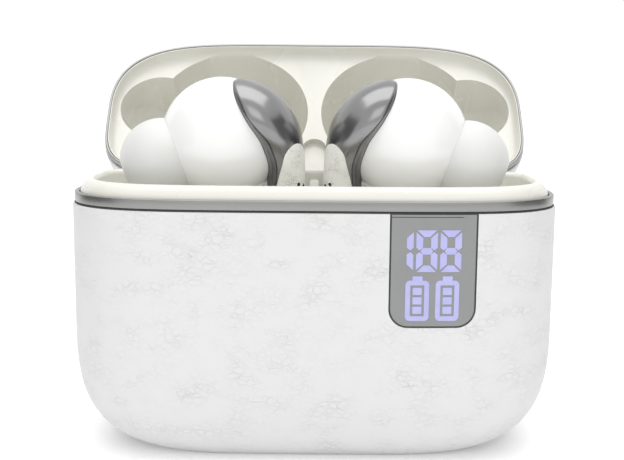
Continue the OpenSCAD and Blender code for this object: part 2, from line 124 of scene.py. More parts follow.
def add_soft_light(name, place, tilt, width, depth, power):
    """One wide square lamp."""
    bpy.ops.object.light_add(type="AREA", location=place, rotation=tilt)
    lamp = bpy.context.object
    lamp.name = name
    lamp.data.shape = "RECTANGLE"
    lamp.data.size = width
    lamp.data.size_y = depth
    lamp.data.energy = power
    return lamp


add_soft_light("overhead_light", (0, 0.05, 0.55), (0, 0, 0), 0.7, 0.5, 1.6)
add_soft_light("camera_light", (0.05, -0.5, 0.32), (math.radians(58), 0, 0), 0.35, 0.25, 0.25)

screen_finish = make_finish("grey_screen", moulded, {"Mottle": 2.0, "Peel": 100.0},
                            ((0.22, 0.22, 0.22), (0.25, 0.25, 0.25)), (0.9, 1.0), 0.00001,
                            {"Specular IOR Level": 0.0})
for side in (-1, 1):
    bpy.ops.mesh.primitive_plane_add(size=1, location=(side * 0.22, -0.04, 0.09),
                                     rotation=(0, side * math.radians(90), 0))
    screen = bpy.context.object
    screen.scale = (0.22, 0.26, 1)
    bpy.ops.object.transform_apply(location=True, rotation=True, scale=True)
    screen.name = "left_screen" if side < 0 else "right_screen"
    screen.data.materials.append(screen_finish)
    screen.visible_camera = False

bpy.ops.object.camera_add(location=(-0.00025, -0.13563, 0.04913))
camera = bpy.context.object
camera.name = "camera"
camera.data.sensor_width = 36
camera.data.lens = 60.35
camera.data.clip_start = 0.01
downward = Matrix.Rotation(math.radians(90 - 9.05), 3, "X")
camera.rotation_euler = (downward @ Matrix.Rotation(0.0081, 3, "Z")).to_euler()
scene.camera = camera

# ---- Lower body skin ----
# The thin hard shell of the lower half, wrapped in white grained leatherette.
# It is open at the top, has the display's tab-shaped cut-out, the hinge slot and the charging inlet.

parting = 0.033
half_width = 0.031
half_depth = 0.013
skin_top = parting - 0.00145

grain, given, result = new_effect("leather_grain", {"Cells": 950.0, "Folds": 260.0})
place = add_node(grain, "ShaderNodeTexCoord").outputs["Object"]
flat = add_node(grain, "ShaderNodeMapping", None, {"Vector": place, "Scale": (1.0, 1.0, 1.5)})
wander = add_node(grain, "ShaderNodeTexNoise", None,
                  {"Vector": flat.outputs["Vector"], "Scale": 900.0, "Detail": 2.0})
shifted = add_node(grain, "ShaderNodeVectorMath", {"operation": "MULTIPLY_ADD"},
                   {0: wander.outputs["Color"], 1: (0.0009, 0.0009, 0.0009), 2: flat.outputs["Vector"]})
cells = add_node(grain, "ShaderNodeTexVoronoi", {"feature": "DISTANCE_TO_EDGE"},
                 {"Vector": shifted.outputs["Vector"], "Scale": given.outputs["Cells"]})
crease = add_node(grain, "ShaderNodeMapRange", {"interpolation_type": "SMOOTHSTEP"},
                  {"Value": cells.outputs["Distance"], "From Min": 0.0, "From Max": 0.2,
                   "To Min": 1.0, "To Max": 0.0})
patches = add_node(grain, "ShaderNodeTexNoise", None,
                   {"Vector": flat.outputs["Vector"], "Scale": given.outputs["Folds"], "Detail": 3.0})
# the mask makes the leather darker and duller along the grain's creases, in patches
crease_patches = add_node(grain, "ShaderNodeMapRange", {"interpolation_type": "SMOOTHSTEP"},
                {"Value": patches.outputs["Fac"], "From Min": 0.35, "From Max": 0.8})
crease_darkening = add_node(grain, "ShaderNodeMath", {"operation": "MULTIPLY"},
                {0: crease.outputs["Result"], 1: crease_patches.outputs["Result"]})
rise = add_node(grain, "ShaderNodeMath", {"operation": "MULTIPLY_ADD"},
                {0: patches.outputs["Fac"], 1: 0.9, 2: 0.2})
height = add_node(grain, "ShaderNodeMath", {"operation": "SUBTRACT"}, {0: rise.outputs[0], 1: crease_darkening.outputs[0]})
grain.links.new(crease_darkening.outputs[0], result.inputs["Mask"])
grain.links.new(height.outputs[0], result.inputs["Height"])

white_leather = make_finish("white_leather", grain, {"Cells": 950.0, "Folds": 260.0},
                            ((0.70, 0.70, 0.70), (0.665, 0.665, 0.665)), (0.5, 0.62), 0.00008,
                            {"Specular IOR Level": 0.35})


def deselect():
    bpy.ops.object.select_all(action="DESELECT")


def outline_point(turn, reach_x, reach_y):
    """One point of the pillow-shaped plan: rounder in front, squarer along the hinge side."""
    c, s = abs(math.cos(turn)), abs(math.sin(turn))
    power = 5 if math.sin(turn) > 0 else 2.4
    low, high = 0.5, 2.0
    for _ in range(40):
        k = (low + high) / 2
        if (k * c) ** 5.1 + (k * s) ** power > 1:
            high = k
        else:
            low = k
    return reach_x * low * math.cos(turn), reach_y * low * math.sin(turn)


def add_loft(name, rings, close_bottom=True, close_top=True, points=144):
    """A wall raised from the plan outline through rings of (height, half width, half depth)."""
    deselect()
    bpy.ops.mesh.primitive_circle_add(vertices=points, radius=1, location=(0, 0, 0))
    piece = bpy.context.object
    piece.name = name
    z, a, b = rings[0]
    for v in piece.data.vertices:
        v.co.x, v.co.y = outline_point(math.atan2(v.co.y, v.co.x), a, b)
        v.co.z = z
    bpy.ops.object.mode_set(mode="EDIT")
    bpy.ops.mesh.select_mode(type="EDGE")
    bpy.ops.mesh.select_all(action="SELECT")
    for (z0, a0, b0), (z1, a1, b1) in zip(rings, rings[1:]):
        bpy.ops.mesh.extrude_region_move(TRANSFORM_OT_translate={"value": (0, 0, z1 - z0)})
        bpy.ops.transform.resize(value=(a1 / a0, b1 / b0, 1), center_override=(0, 0, z1))
    if close_top:
        bpy.ops.mesh.edge_face_add()
    if close_bottom:
        bpy.ops.mesh.select_all(action="DESELECT")
        wall = bmesh.from_edit_mesh(piece.data)
        for edge in wall.edges:
            edge.select_set(edge.is_boundary and all(abs(v.co.z - rings[0][0]) < 1e-7 for v in edge.verts))
        bmesh.update_edit_mesh(piece.data)
        bpy.ops.mesh.edge_face_add()
    bpy.ops.mesh.select_all(action="SELECT")
    bpy.ops.mesh.remove_doubles(threshold=0.000001)
    bpy.ops.mesh.normals_make_consistent(inside=False)
    bpy.ops.object.mode_set(mode="OBJECT")
    return piece


def apply_modifier(piece, kind, settings):
    """Adds a modifier with its settings and applies it."""
    deselect()
    piece.select_set(True)
    bpy.context.view_layer.objects.active = piece
    modifier = piece.modifiers.new(kind.lower(), kind)
    for key, value in settings.items():
        setattr(modifier, key, value)
    bpy.ops.object.modifier_apply(modifier=modifier.name)


def cut_with(piece, cutter, operation="DIFFERENCE"):
    """Cuts or trims a piece with another shape, which is then thrown away."""
    apply_modifier(piece, "BOOLEAN", {"operation": operation, "object": cutter, "solver": "EXACT"})
    bpy.data.objects.remove(cutter)


def add_block(name, low, high):
    """A block between two corners, to be rounded or cut."""
    deselect()
    bpy.ops.mesh.primitive_cube_add(size=1, location=[(p + q) / 2 for p, q in zip(low, high)])
    block = bpy.context.object
    block.name = name
    block.scale = [q - p for p, q in zip(low, high)]
    bpy.ops.object.transform_apply(location=True, rotation=True, scale=True)
    return block


def add_rod(name, radius, start, length, axis, sides=64):
    """A round bar that starts at a point and runs along X, Y or Z."""
    deselect()
    middle = list(start)
    middle["XYZ".index(axis)] += length / 2
    turned = {"X": (0, math.pi / 2, 0), "Y": (math.pi / 2, 0, 0), "Z": (0, 0, 0)}[axis]
    bpy.ops.mesh.primitive_cylinder_add(vertices=sides, radius=radius, depth=length, location=middle, rotation=turned)
    rod = bpy.context.object
    rod.name = name
    bpy.ops.object.transform_apply(location=True, rotation=True, scale=True)
    return rod


def round_edges(piece, test, width, steps):
    """Rounds the edges whose two ends both pass the test."""
    deselect()
    piece.select_set(True)
    bpy.context.view_layer.objects.active = piece
    bpy.ops.object.mode_set(mode="EDIT")
    bpy.ops.mesh.select_mode(type="EDGE")
    bpy.ops.mesh.select_all(action="DESELECT")
    mesh = bmesh.from_edit_mesh(piece.data)
    for edge in mesh.edges:
        edge.select_set(test(edge.verts[0].co, edge.verts[1].co))
    bmesh.update_edit_mesh(piece.data)
    bpy.ops.mesh.bevel(offset=width, segments=steps, affect="EDGES", clamp_overlap=True)
    bpy.ops.object.mode_set(mode="OBJECT")


def settle(piece, body, finish, nodes=(), angle=35):
    """Smooths the shading, gives the piece its finish, hangs it on its body's empty and hides the frame parts it
    stands for.
    """
    deselect()
    piece.select_set(True)
    bpy.context.view_layer.objects.active = piece
    bpy.ops.object.shade_smooth_by_angle(angle=math.radians(angle))
    piece.data.materials.clear()
    piece.data.materials.append(finish)
    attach(piece, body)
    if nodes:
        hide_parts(*nodes)


def body_ring(z, inset=0.0):
    """Size of the lower body at a height: straight above, drawn in towards the flat base."""
    t = max(0.0163 - z, 0) / 0.0172
    return (z, (half_width - inset) * (1 - t ** 3) ** (1 / 5.1), (half_depth - inset) * (1 - t ** 3) ** (1 / 4.5))


window_x = 0.0143
window_half = 0.00525
window_drop = 0.0138


def add_tab(name, grow, low_y, high_y):
    """The display's tab shape: straight at the top, rounded at its two lower corners."""
    x0, x1 = window_x - window_half - grow, window_x + window_half + grow
    tab = add_block(name, (x0, low_y, skin_top - window_drop - grow), (x1, high_y, skin_top + 0.0004))
    round_edges(tab, lambda p, q: p.z < 0.02 and q.z < 0.02 and abs(p.x - q.x) < 1e-6, 0.0023 + grow, 14)
    return tab


def add_hinge_slot(low, high):
    """The recess in the rim that the hinge sits in."""
    return add_block("hinge_slot", (-0.0111, 0.01135, low), (0.0111, 0.0145, high))


base_heights = [0, 0.0002, 0.0005, 0.0009, 0.0014, 0.002, 0.0028, 0.0037, 0.0048, 0.006, 0.0074, 0.009,
                0.0108, 0.0126, 0.0145, 0.0163, 0.0195, 0.023, 0.027, skin_top]
skin = add_loft("body_skin", [body_ring(z) for z in base_heights], close_top=False)
apply_modifier(skin, "SOLIDIFY", {"thickness": 0.0012, "offset": -1, "use_even_offset": True})


def on_outline(v):
    """Whether a point lies on the outer wall and not on the inner one."""
    return abs(v.x / half_width) ** 5.1 + abs(v.y / half_depth) ** (5 if v.y > 0 else 2.4) > 0.97


round_edges(skin, lambda p, q: min(p.z, q.z) > skin_top - 1e-6 and on_outline(p) and on_outline(q), 0.0002, 3)
cut_with(skin, add_tab("cut", 0.00005, -0.014, -0.008))
cut_with(skin, add_hinge_slot(parting - 0.00455, parting + 0.003))
inlet = add_block("inlet_cut", (-0.00455, -0.00168, -0.001), (0.00455, 0.00168, 0.003))
round_edges(inlet, lambda p, q: abs(p.z - q.z) > 0.001, 0.00167, 10)
cut_with(skin, inlet)
settle(skin, "charging_body", white_leather, ("outer_skin",), 40)

# ---- Seam shade line ----
# A thin black ring in the joint between the leatherette and the rim strip: painted shade for the shadow in that gap.
# It sits in the joint from above and only its edge shows.

# painted shade: a near-black finish that stands for the shadow in the joint gap
black_rubber = make_finish("black_rubber", moulded, {"Mottle": 200.0, "Peel": 3000.0},
                           ((0.03, 0.03, 0.03), (0.05, 0.05, 0.05)), (0.6, 0.75), 0.00001)


def straight_ring(name, inset, thick, low, high):
    """A closed band that follows the outline at one inset."""
    reach = (half_width - inset, half_depth - inset)
    band = add_loft(name, [(low, *reach), (high, *reach)], close_bottom=False, close_top=False)
    apply_modifier(band, "SOLIDIFY", {"thickness": thick, "offset": -1, "use_even_offset": True})
    return band


# painted shade: this black ring stands for the shadow under the rim strip
gap_shade_ring = straight_ring("seam_shade_line", 0.00022, 0.0004, skin_top + 0.00001, parting - 0.00126)
cut_with(gap_shade_ring, add_hinge_slot(parting - 0.00455, parting + 0.003))
settle(gap_shade_ring, "charging_body", black_rubber, ("seam_gasket",))

# ---- Rim strip ----
# A satin grey metal band pressed on round the top of the body, with softened edges.
# It is bent from drawn strip, so fine lines run along it.

drawn, given, result = new_effect("drawn_metal", {"Lines": 4000.0, "Cloud": 60.0})
place = add_node(drawn, "ShaderNodeTexCoord").outputs["Object"]
along = add_node(drawn, "ShaderNodeMapping", None, {"Vector": place, "Scale": (0.02, 0.02, 1.0)})
lines = add_node(drawn, "ShaderNodeTexNoise", None,
                 {"Vector": along.outputs["Vector"], "Scale": given.outputs["Lines"], "Detail": 2.0})
cloud = add_node(drawn, "ShaderNodeTexNoise", None, {"Vector": place, "Scale": given.outputs["Cloud"], "Detail": 2.0})
blend = add_node(drawn, "ShaderNodeMath", {"operation": "MULTIPLY_ADD"},
                 {0: lines.outputs["Fac"], 1: 0.6, 2: cloud.outputs["Fac"]})
spread = add_node(drawn, "ShaderNodeMapRange", None, {"Value": blend.outputs[0], "From Min": 0.55, "From Max": 1.05})
drawn.links.new(spread.outputs["Result"], result.inputs["Mask"])
drawn.links.new(lines.outputs["Fac"], result.inputs["Height"])

satin_metal = make_finish("satin_metal", drawn, {"Lines": 4000.0, "Cloud": 60.0},
                          ((0.28, 0.28, 0.275), (0.31, 0.31, 0.305)), (0.26, 0.36), 0.000004, {"Metallic": 1.0})

rim = straight_ring("rim_band", 0.00025, 0.0006, parting - 0.00125, parting)
round_edges(rim, lambda p, q: abs(p.z - q.z) < 1e-7, 0.00013, 3)
cut_with(rim, add_hinge_slot(parting - 0.00455, parting + 0.003))
settle(rim, "charging_body", satin_metal, ("rim_strip",))

# ---- Inner tray ----
# One glossy ivory moulding that drops into the body: a raised lip, a wide hollow for the earbud heads
# and two round sockets for the stems, with a low bridge between them.

ivory = make_finish("ivory_moulding", moulded, {"Mottle": 60.0, "Peel": 1200.0},
                    ((0.76, 0.753, 0.69), (0.745, 0.738, 0.675)), (0.22, 0.3), 0.000004,
                    {"Coat Weight": 0.2, "Coat Roughness": 0.1})


def plan_ring(z, inset):
    return (z, half_width - inset, half_depth - inset)


tray = add_loft("tray_moulding", [
    plan_ring(parting - 0.0038, 0.0013), plan_ring(parting - 0.00145, 0.0013), plan_ring(parting - 0.00125, 0.00095),
    plan_ring(parting, 0.00095), plan_ring(parting + 0.0004, 0.00108), plan_ring(parting + 0.0008, 0.00129),
    plan_ring(parting + 0.00112, 0.00152), plan_ring(parting + 0.00136, 0.00176), plan_ring(parting + 0.0015, 0.00203),
    plan_ring(parting + 0.00155, 0.0023), plan_ring(parting + 0.00152, 0.00252), plan_ring(parting + 0.0014, 0.00272),
    plan_ring(parting + 0.0012, 0.00286), plan_ring(parting + 0.0009, 0.00293), plan_ring(parting - 0.0022, 0.00297),
    plan_ring(parting - 0.0025, 0.0031), plan_ring(parting - 0.0026, 0.0034)])
bridge = add_block("bridge", (-0.0007, -0.0101, parting - 0.003), (0.0007, 0.0101, parting + 0.0001))
round_edges(bridge, lambda p, q: p.z > parting and q.z > parting and abs(p.y - q.y) > 0.001, 0.0003, 3)
cut_with(tray, bridge, "UNION")
for side in (-1, 1):
    tube = add_rod("socket_tube", 0.0036, (side * 0.00365, 0, 0.0149), 0.0155, "Z")
    cut_with(tray, tube, "UNION")
for side in (-1, 1):
    cut_with(tray, add_rod("socket_cut", 0.0028, (side * 0.00365, 0, 0.0159), 0.02, "Z"))
cut_with(tray, add_hinge_slot(parting - 0.00455, parting + 0.003))
settle(tray, "charging_body", ivory, ("inner_tray",))

# ---- Display window ----
# A smoked grey plastic tab set flush into the front, with a black sheet in the gap round it as painted shade, and a
# thin line across its top.
# It clips in behind the leatherette.

grey_window = make_finish("grey_window", moulded, {"Mottle": 150.0, "Peel": 2500.0},
                          ((0.262, 0.267, 0.265), (0.275, 0.28, 0.278)), (0.28, 0.34), 0.000002,
                          {"Specular IOR Level": 0.3})
# painted shade: a near-black finish for the shade in narrow gaps and grooves
painted_edge_shade = make_finish("painted_edge_shade", moulded, {"Mottle": 300.0, "Peel": 3000.0},
                        ((0.035, 0.035, 0.04), (0.055, 0.055, 0.06)), (0.45, 0.6), 0.00001)


# painted shade: a black sheet fills the gap round the pane and stands for its shadow
edge_shade_sheet = straight_ring("window_edge_shade", 0.00012, 0.0008, skin_top - 0.015, skin_top + 0.00001)
cut_with(edge_shade_sheet, add_tab("trim", -0.00002, -0.014, -0.008), "INTERSECT")
settle(edge_shade_sheet, "charging_body", painted_edge_shade)

window = straight_ring("window_pane", 0.00006, 0.0009, skin_top - 0.015, skin_top - 0.00006)
cut_with(window, add_tab("trim", -0.00017, -0.014, -0.008), "INTERSECT")
groove = add_block("groove", (0.0085, -0.0135, skin_top - 0.0004), (0.02, -0.01255, skin_top - 0.00031))
cut_with(window, groove)
settle(window, "charging_body", grey_window, ("display_window",))

# ---- Lit figures and battery symbols ----
# Lavender light guides behind the window: three segmented figures over two battery symbols.
# Each segment has pointed ends and a fine dark gap to its neighbours.

lavender = make_finish("lavender_light", moulded, {"Mottle": 700.0, "Peel": 2500.0},
                       ((0.53, 0.53, 0.90), (0.58, 0.58, 0.94)), (0.4, 0.5), 0.000001,
                       {"Base Color": (0.02, 0.02, 0.03, 1), "Emission Strength": 0.95,
                        "Specular IOR Level": 0.1}, glow=True)


def add_plate(name, corners):
    """A thin plate with straight sides, drawn on the front of the window; corners are X and Z."""
    deselect()
    bpy.ops.mesh.primitive_circle_add(vertices=len(corners), radius=0.001, location=(0, 0, 0))
    plate = bpy.context.object
    plate.name = name
    for v, (x, z) in zip(plate.data.vertices, corners):
        v.co = (x, 0, z)
    bpy.ops.object.mode_set(mode="EDIT")
    bpy.ops.mesh.select_all(action="SELECT")
    bpy.ops.mesh.edge_face_add()
    bpy.ops.object.mode_set(mode="OBJECT")
    return plate


def join_pieces(name, pieces):
    """Joins finished pieces into one object."""
    deselect()
    for piece in pieces:
        piece.select_set(True)
    bpy.context.view_layer.objects.active = pieces[0]
    bpy.ops.object.join()
    pieces[0].name = name
    return pieces[0]


def wrap_on_front(piece, inset, thick):
    """Gives flat plates their thickness and lays them on the curved front."""
    deselect()
    piece.select_set(True)
    bpy.context.view_layer.objects.active = piece
    bpy.ops.object.mode_set(mode="EDIT")
    bpy.ops.mesh.select_all(action="SELECT")
    bpy.ops.mesh.extrude_region_move(TRANSFORM_OT_translate={"value": (0, thick, 0)})
    bpy.ops.mesh.select_all(action="SELECT")
    bpy.ops.mesh.normals_make_consistent(inside=False)
    bpy.ops.object.mode_set(mode="OBJECT")
    for v in piece.data.vertices:
        share = (abs(v.co.x) / (half_width - inset)) ** 5.1
        v.co.y += -(half_depth - inset) * (1 - share) ** (1 / 2.4)


figure_h = 0.00505
figure_w = 0.00256
stroke = 0.0008
gap = 0.0001
point = 0.00042
middle = -figure_h / 2
upper_left = [(0, -gap * 1.4 - 0.0001), (stroke, -stroke - gap * 1.4), (stroke, middle + point),
              (stroke / 2, middle + 0.0001), (0, middle + point)]
crossbar = [(gap * 1.2, 0), (figure_w - gap * 1.2, 0), (figure_w - stroke - gap * 1.2, -stroke),
            (stroke + gap * 1.2, -stroke)]
centre = [(stroke / 2 + gap * 1.3, middle), (stroke, middle + stroke / 2), (figure_w - stroke, middle + stroke / 2),
          (figure_w - stroke / 2 - gap * 1.3, middle), (figure_w - stroke, middle - stroke / 2),
          (stroke, middle - stroke / 2)]


def across(corners):
    return [(figure_w - x, z) for x, z in corners]


def upside(corners):
    return [(x, -figure_h - z) for x, z in corners]


eight = [upper_left, across(upper_left), upside(upper_left), across(upside(upper_left)), crossbar,
         upside(crossbar), centre]
right_bars = [[(x - figure_w + stroke, z) for x, z in across(c)] for c in (upper_left, upside(upper_left))]
figures_left = window_x - 0.00324
figures = [(figures_left, right_bars), (figures_left + 0.00113, eight), (figures_left + 0.00402, eight)]
plates = [add_plate("segment", [(left + x, parting - 0.00335 + z) for x, z in corners])
          for left, shapes in figures for corners in shapes]
digits = join_pieces("lit_figures", plates)
wrap_on_front(digits, 0.00001, 0.0004)
settle(digits, "charging_body", lavender, ("display_digits",))


def rounded_corners(x0, x1, z0, z1, radius, steps=6):
    """Corner points of a rounded rectangle, in order."""
    corners = []
    for cx, cz, start in ((x1 - radius, z1 - radius, 0), (x0 + radius, z1 - radius, 90),
                          (x0 + radius, z0 + radius, 180), (x1 - radius, z0 + radius, 270)):
        for k in range(steps + 1):
            a = math.radians(start + 90 * k / steps)
            corners.append((cx + radius * math.cos(a), cz + radius * math.sin(a)))
    return corners


def add_battery(left, top):
    """One battery symbol: a rounded case with a cap and three charge bars."""
    w, h, edge = 0.00285, 0.00495, 0.00058
    case = add_plate("battery_case", rounded_corners(left, left + w, top - h, top, 0.00055))
    bpy.ops.object.mode_set(mode="EDIT")
    bpy.ops.mesh.select_all(action="SELECT")
    bpy.ops.mesh.inset(thickness=edge)
    bpy.ops.mesh.delete(type="FACE")
    bpy.ops.object.mode_set(mode="OBJECT")
    cap_in, bar_in, bar_h = 0.00082, 0.00088, 0.00088
    cap = rounded_corners(left + cap_in, left + w - cap_in, top - 0.0001, top + 0.00052, 0.0001, 3)
    parts = [case, add_plate("battery_cap", cap)]
    for k in range(3):
        z1 = top - 0.00088 - 0.00116 * k
        bar = rounded_corners(left + bar_in, left + w - bar_in, z1 - bar_h, z1, 0.00008, 2)
        parts.append(add_plate("battery_bar", bar))
    return parts


battery_top = parting - 0.00945
icons = join_pieces("lit_batteries", add_battery(window_x - 0.0033, battery_top)
                    + add_battery(window_x + 0.00033, battery_top))
wrap_on_front(icons, 0.00001, 0.0004)
settle(icons, "charging_body", lavender, ("display_icons",))

# ---- Boards, cell and other inner parts ----
# The electronics sealed inside the body and the earbuds, each carried over from the frame.
# They are seen only when the object is opened up, and get the finishes that such parts have.


def refinish(finish, *names):
    """Gives carried-over frame parts a better finish."""
    for name in names:
        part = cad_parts[name]
        if part.data.materials:
            for k in range(len(part.data.materials)):
                part.data.materials[k] = finish
        else:
            part.data.materials.append(finish)


def both(*names):
    return [f"{side}_{name}" for side in ("left", "right") for name in names]


board_green = make_finish("board_green", moulded, {"Mottle": 400.0, "Peel": 2500.0},
                          ((0.02, 0.16, 0.07), (0.03, 0.22, 0.10)), (0.3, 0.5), 0.00002)
chip_black = make_finish("chip_black", moulded, {"Mottle": 500.0, "Peel": 4000.0},
                         ((0.015, 0.015, 0.018), (0.035, 0.035, 0.04)), (0.45, 0.6), 0.00001)
pouch_foil = make_finish("pouch_foil", moulded, {"Mottle": 150.0, "Peel": 700.0},
                         ((0.62, 0.62, 0.64), (0.72, 0.72, 0.74)), (0.22, 0.4), 0.00006, {"Metallic": 1.0})
red_wire = make_finish("red_wire", moulded, {"Mottle": 600.0, "Peel": 3000.0},
                       ((0.45, 0.02, 0.02), (0.6, 0.05, 0.04)), (0.35, 0.5), 0.00001)
white_plastic = make_finish("white_plastic", moulded, {"Mottle": 120.0, "Peel": 2000.0},
                            ((0.78, 0.78, 0.76), (0.84, 0.84, 0.82)), (0.4, 0.5), 0.00001)
screw_steel = make_finish("screw_steel", drawn, {"Lines": 6000.0, "Cloud": 300.0},
                          ((0.5, 0.5, 0.51), (0.66, 0.66, 0.67)), (0.2, 0.35), 0.000004, {"Metallic": 1.0})
amber_film = make_finish("amber_film", moulded, {"Mottle": 300.0, "Peel": 2500.0},
                         ((0.55, 0.25, 0.03), (0.7, 0.36, 0.06)), (0.25, 0.35), 0.00001)
magnet_plate = make_finish("magnet_plate", moulded, {"Mottle": 400.0, "Peel": 3000.0},
                           ((0.5, 0.5, 0.5), (0.6, 0.6, 0.6)), (0.15, 0.3), 0.000005, {"Metallic": 1.0})
gold_plate = make_finish("gold_plate", moulded, {"Mottle": 800.0, "Peel": 3000.0},
                         ((0.78, 0.52, 0.16), (0.86, 0.62, 0.24)), (0.16, 0.26), 0.000003, {"Metallic": 1.0})
dark_mesh = make_finish("dark_mesh", moulded, {"Mottle": 900.0, "Peel": 6000.0},
                        ((0.02, 0.02, 0.02), (0.07, 0.07, 0.07)), (0.4, 0.6), 0.00004, {"Metallic": 0.6})

refinish(board_green, "main_board", "port_board", *both("bud_board"))
refinish(chip_black, "board_parts", "pin_carriers", *both("speaker"))
refinish(pouch_foil, "battery_cell")
refinish(red_wire, "battery_leads")
refinish(white_plastic, "display_module")
refinish(screw_steel, "board_screws", *both("bud_cell"))
refinish(amber_film, "display_flex", "port_flex", "contact_flex")
refinish(magnet_plate, "socket_magnets", "body_catch_magnet", "lid_catch_magnet")
refinish(gold_plate, "left_inner_pin", "left_outer_pin", "right_inner_pin", "right_outer_pin", *both("contacts"))
refinish(dark_mesh, *both("nozzle_mesh"))

# ---- Charging inlet ----
# The drawn steel receptacle in the underside, with its black contact tongue.
# It is soldered to the small port board behind it.

port_steel = make_finish("port_steel", drawn, {"Lines": 5000.0, "Cloud": 400.0},
                         ((0.55, 0.55, 0.56), (0.68, 0.68, 0.69)), (0.2, 0.32), 0.000003, {"Metallic": 1.0})
tongue_black = make_finish("tongue_black", moulded, {"Mottle": 700.0, "Peel": 3500.0},
                           ((0.02, 0.02, 0.022), (0.04, 0.04, 0.042)), (0.4, 0.5), 0.000008)
refinish(port_steel, "usb_receptacle")
refinish(tongue_black, "usb_tongue")

# ---- Hinge ----
# Two pressed metal blocks on a steel rod, one screwed into the body and one in the lid.
# They fill the slots in both rims along the back.

hinge_metal = make_finish("hinge_metal", drawn, {"Lines": 5000.0, "Cloud": 200.0},
                          ((0.42, 0.42, 0.42), (0.52, 0.52, 0.52)), (0.3, 0.42), 0.000005, {"Metallic": 1.0})
rod_steel = make_finish("rod_steel", drawn, {"Lines": 7000.0, "Cloud": 300.0},
                        ((0.55, 0.55, 0.56), (0.65, 0.65, 0.66)), (0.15, 0.25), 0.000003, {"Metallic": 1.0})
refinish(hinge_metal, "hinge_base", "hinge_leaf")
refinish(rod_steel, "hinge_rod")

# ---- Lid skin and lid strip ----
# The domed top half of the shell in the same leatherette, with its own metal band round the mouth.
# Both are made in the shut position and then turned back on the hinge.

hinge_point = (0, 0.0129, 0.033)
lid_height = 0.0172
open_angle = math.radians(132)


def open_lid(piece):
    """Turns a shut lid piece back on the hinge rod."""
    deselect()
    piece.select_set(True)
    bpy.context.view_layer.objects.active = piece
    bpy.ops.object.mode_set(mode="EDIT")
    bpy.ops.mesh.select_all(action="SELECT")
    bpy.ops.transform.rotate(value=open_angle, orient_axis="X", center_override=hinge_point)
    bpy.ops.object.mode_set(mode="OBJECT")


def lid_ring(z, inset):
    """Size of the lid at a height above the joint, domed towards the top."""
    t = max(z - parting, 0) / ((lid_height - inset) * 1.012)
    return (z, (half_width - inset) * (1 - t ** 2.6) ** (1 / 3.4), (half_depth - inset) * (1 - t ** 2.6) ** (1 / 2.6))


lid_shares = [0.16, 0.24, 0.32, 0.39, 0.46, 0.53, 0.59, 0.65, 0.7, 0.75, 0.79, 0.83, 0.865, 0.895, 0.92, 0.942, 0.96,
              0.975, 0.988, 0.996, 1.0]


def lid_rings(inset, low):
    return [lid_ring(low, inset)] + [lid_ring(parting + (lid_height - inset) * s, inset) for s in lid_shares]


lid_shell = add_loft("lid_shell", lid_rings(0.00006, parting + 0.00127), close_bottom=False)
apply_modifier(lid_shell, "SOLIDIFY", {"thickness": 0.00075, "offset": -1, "use_even_offset": True})
cut_with(lid_shell, add_hinge_slot(parting - 0.002, parting + 0.00455))
open_lid(lid_shell)
settle(lid_shell, "lid", white_leather, ("lid_skin",), 40)

lid_band = straight_ring("lid_band", 0.00025, 0.00035, parting, parting + 0.00125)
round_edges(lid_band, lambda p, q: abs(p.z - q.z) < 1e-7, 0.0001, 3)
cut_with(lid_band, add_hinge_slot(parting - 0.002, parting + 0.00455))
open_lid(lid_band)
settle(lid_band, "lid", satin_metal, ("lid_strip",))

# ---- Lid lining ----
# One glossy ivory moulding inside the lid, hollowed out over each earbud: a wide round hollow over the head
# and a smaller one over the ear tip, with a finger-nail scoop beside the hinge.

lining = add_loft("lid_lining", [plan_ring(parting + 0.0001, 0.00063), plan_ring(parting + 0.0012, 0.00063)]
                  + lid_rings(0.00083, parting + 0.00127))
lip_room = add_loft("lip_room", [plan_ring(parting - 0.001, 0.00075), plan_ring(parting + 0.00012, 0.00075),
                                 plan_ring(parting + 0.0009, 0.00085), plan_ring(parting + 0.0014, 0.00105),
                                 plan_ring(parting + 0.00175, 0.0013), plan_ring(parting + 0.0019, 0.0017)])
cut_with(lining, lip_room)
for side in (-1, 1):
    hollow = add_loft("hollow", lid_rings(0.00115, parting - 0.0005), points=192)
    lobes = add_rod("lobe", 0.0115, (side * 0.0125, -0.0006, parting - 0.001), 0.02, "Z", 160)
    cut_with(lobes, add_rod("lobe", 0.0059, (side * 0.0235, -0.0015, parting - 0.001), 0.02, "Z", 96), "UNION")
    cut_with(hollow, lobes, "INTERSECT")
    cut_with(lining, hollow)
scoop = add_rod("scoop", 0.0018, (0, 0.0062, parting - 0.001), 0.0039, "Z", 48)
scoop_end = add_block("scoop_end", (-0.0018, 0.0062, parting - 0.001), (0.0018, 0.0087, parting + 0.0029))
cut_with(scoop, scoop_end, "UNION")
cut_with(lining, scoop)
cut_with(lining, add_hinge_slot(parting - 0.002, parting + 0.00455))
open_lid(lining)
settle(lining, "lid", ivory, ("lid_web", "left_lid_pocket", "right_lid_pocket"), 45)

# ---- Earbud stem covers ----
# The bright smoked-chrome cover of each earbud: a round stem that widens and sweeps outward over the head.
# It is a plated moulding with a fine parting line near its outer edge.

smoked_chrome = make_finish("smoked_chrome", moulded, {"Mottle": 200.0, "Peel": 900.0},
                            ((0.25, 0.25, 0.253), (0.28, 0.28, 0.283)), (0.2, 0.26), 0.000002, {"Metallic": 1.0})
stem_x = 0.00365
# height above the joint, then left edge, widest line, right edge and half depth, in millimetres
stem_path = [(-16.5, -6.15, -3.65, -1.15, 2.5), (-8, -6.15, -3.65, -1.15, 2.5), (-2, -6.15, -3.65, -1.15, 2.5),
             (0, -6.15, -3.65, -1.15, 2.5), (1.9, -6.25, -3.8, -1.2, 3.1), (3.7, -6.45, -4.2, -1.3, 4.15),
             (6.3, -7.35, -5.3, -1.55, 5.5), (8.4, -8.7, -6.8, -2.05, 6.15), (10.2, -9.7, -7.8, -3, 5.95),
             (11.8, -10.3, -8.5, -4.3, 5.2), (13, -10.5, -9, -5.8, 3.9), (13.8, -10.4, -9.4, -7.6, 2.3),
             (14.15, -9.9, -9.5, -8.9, 1)]


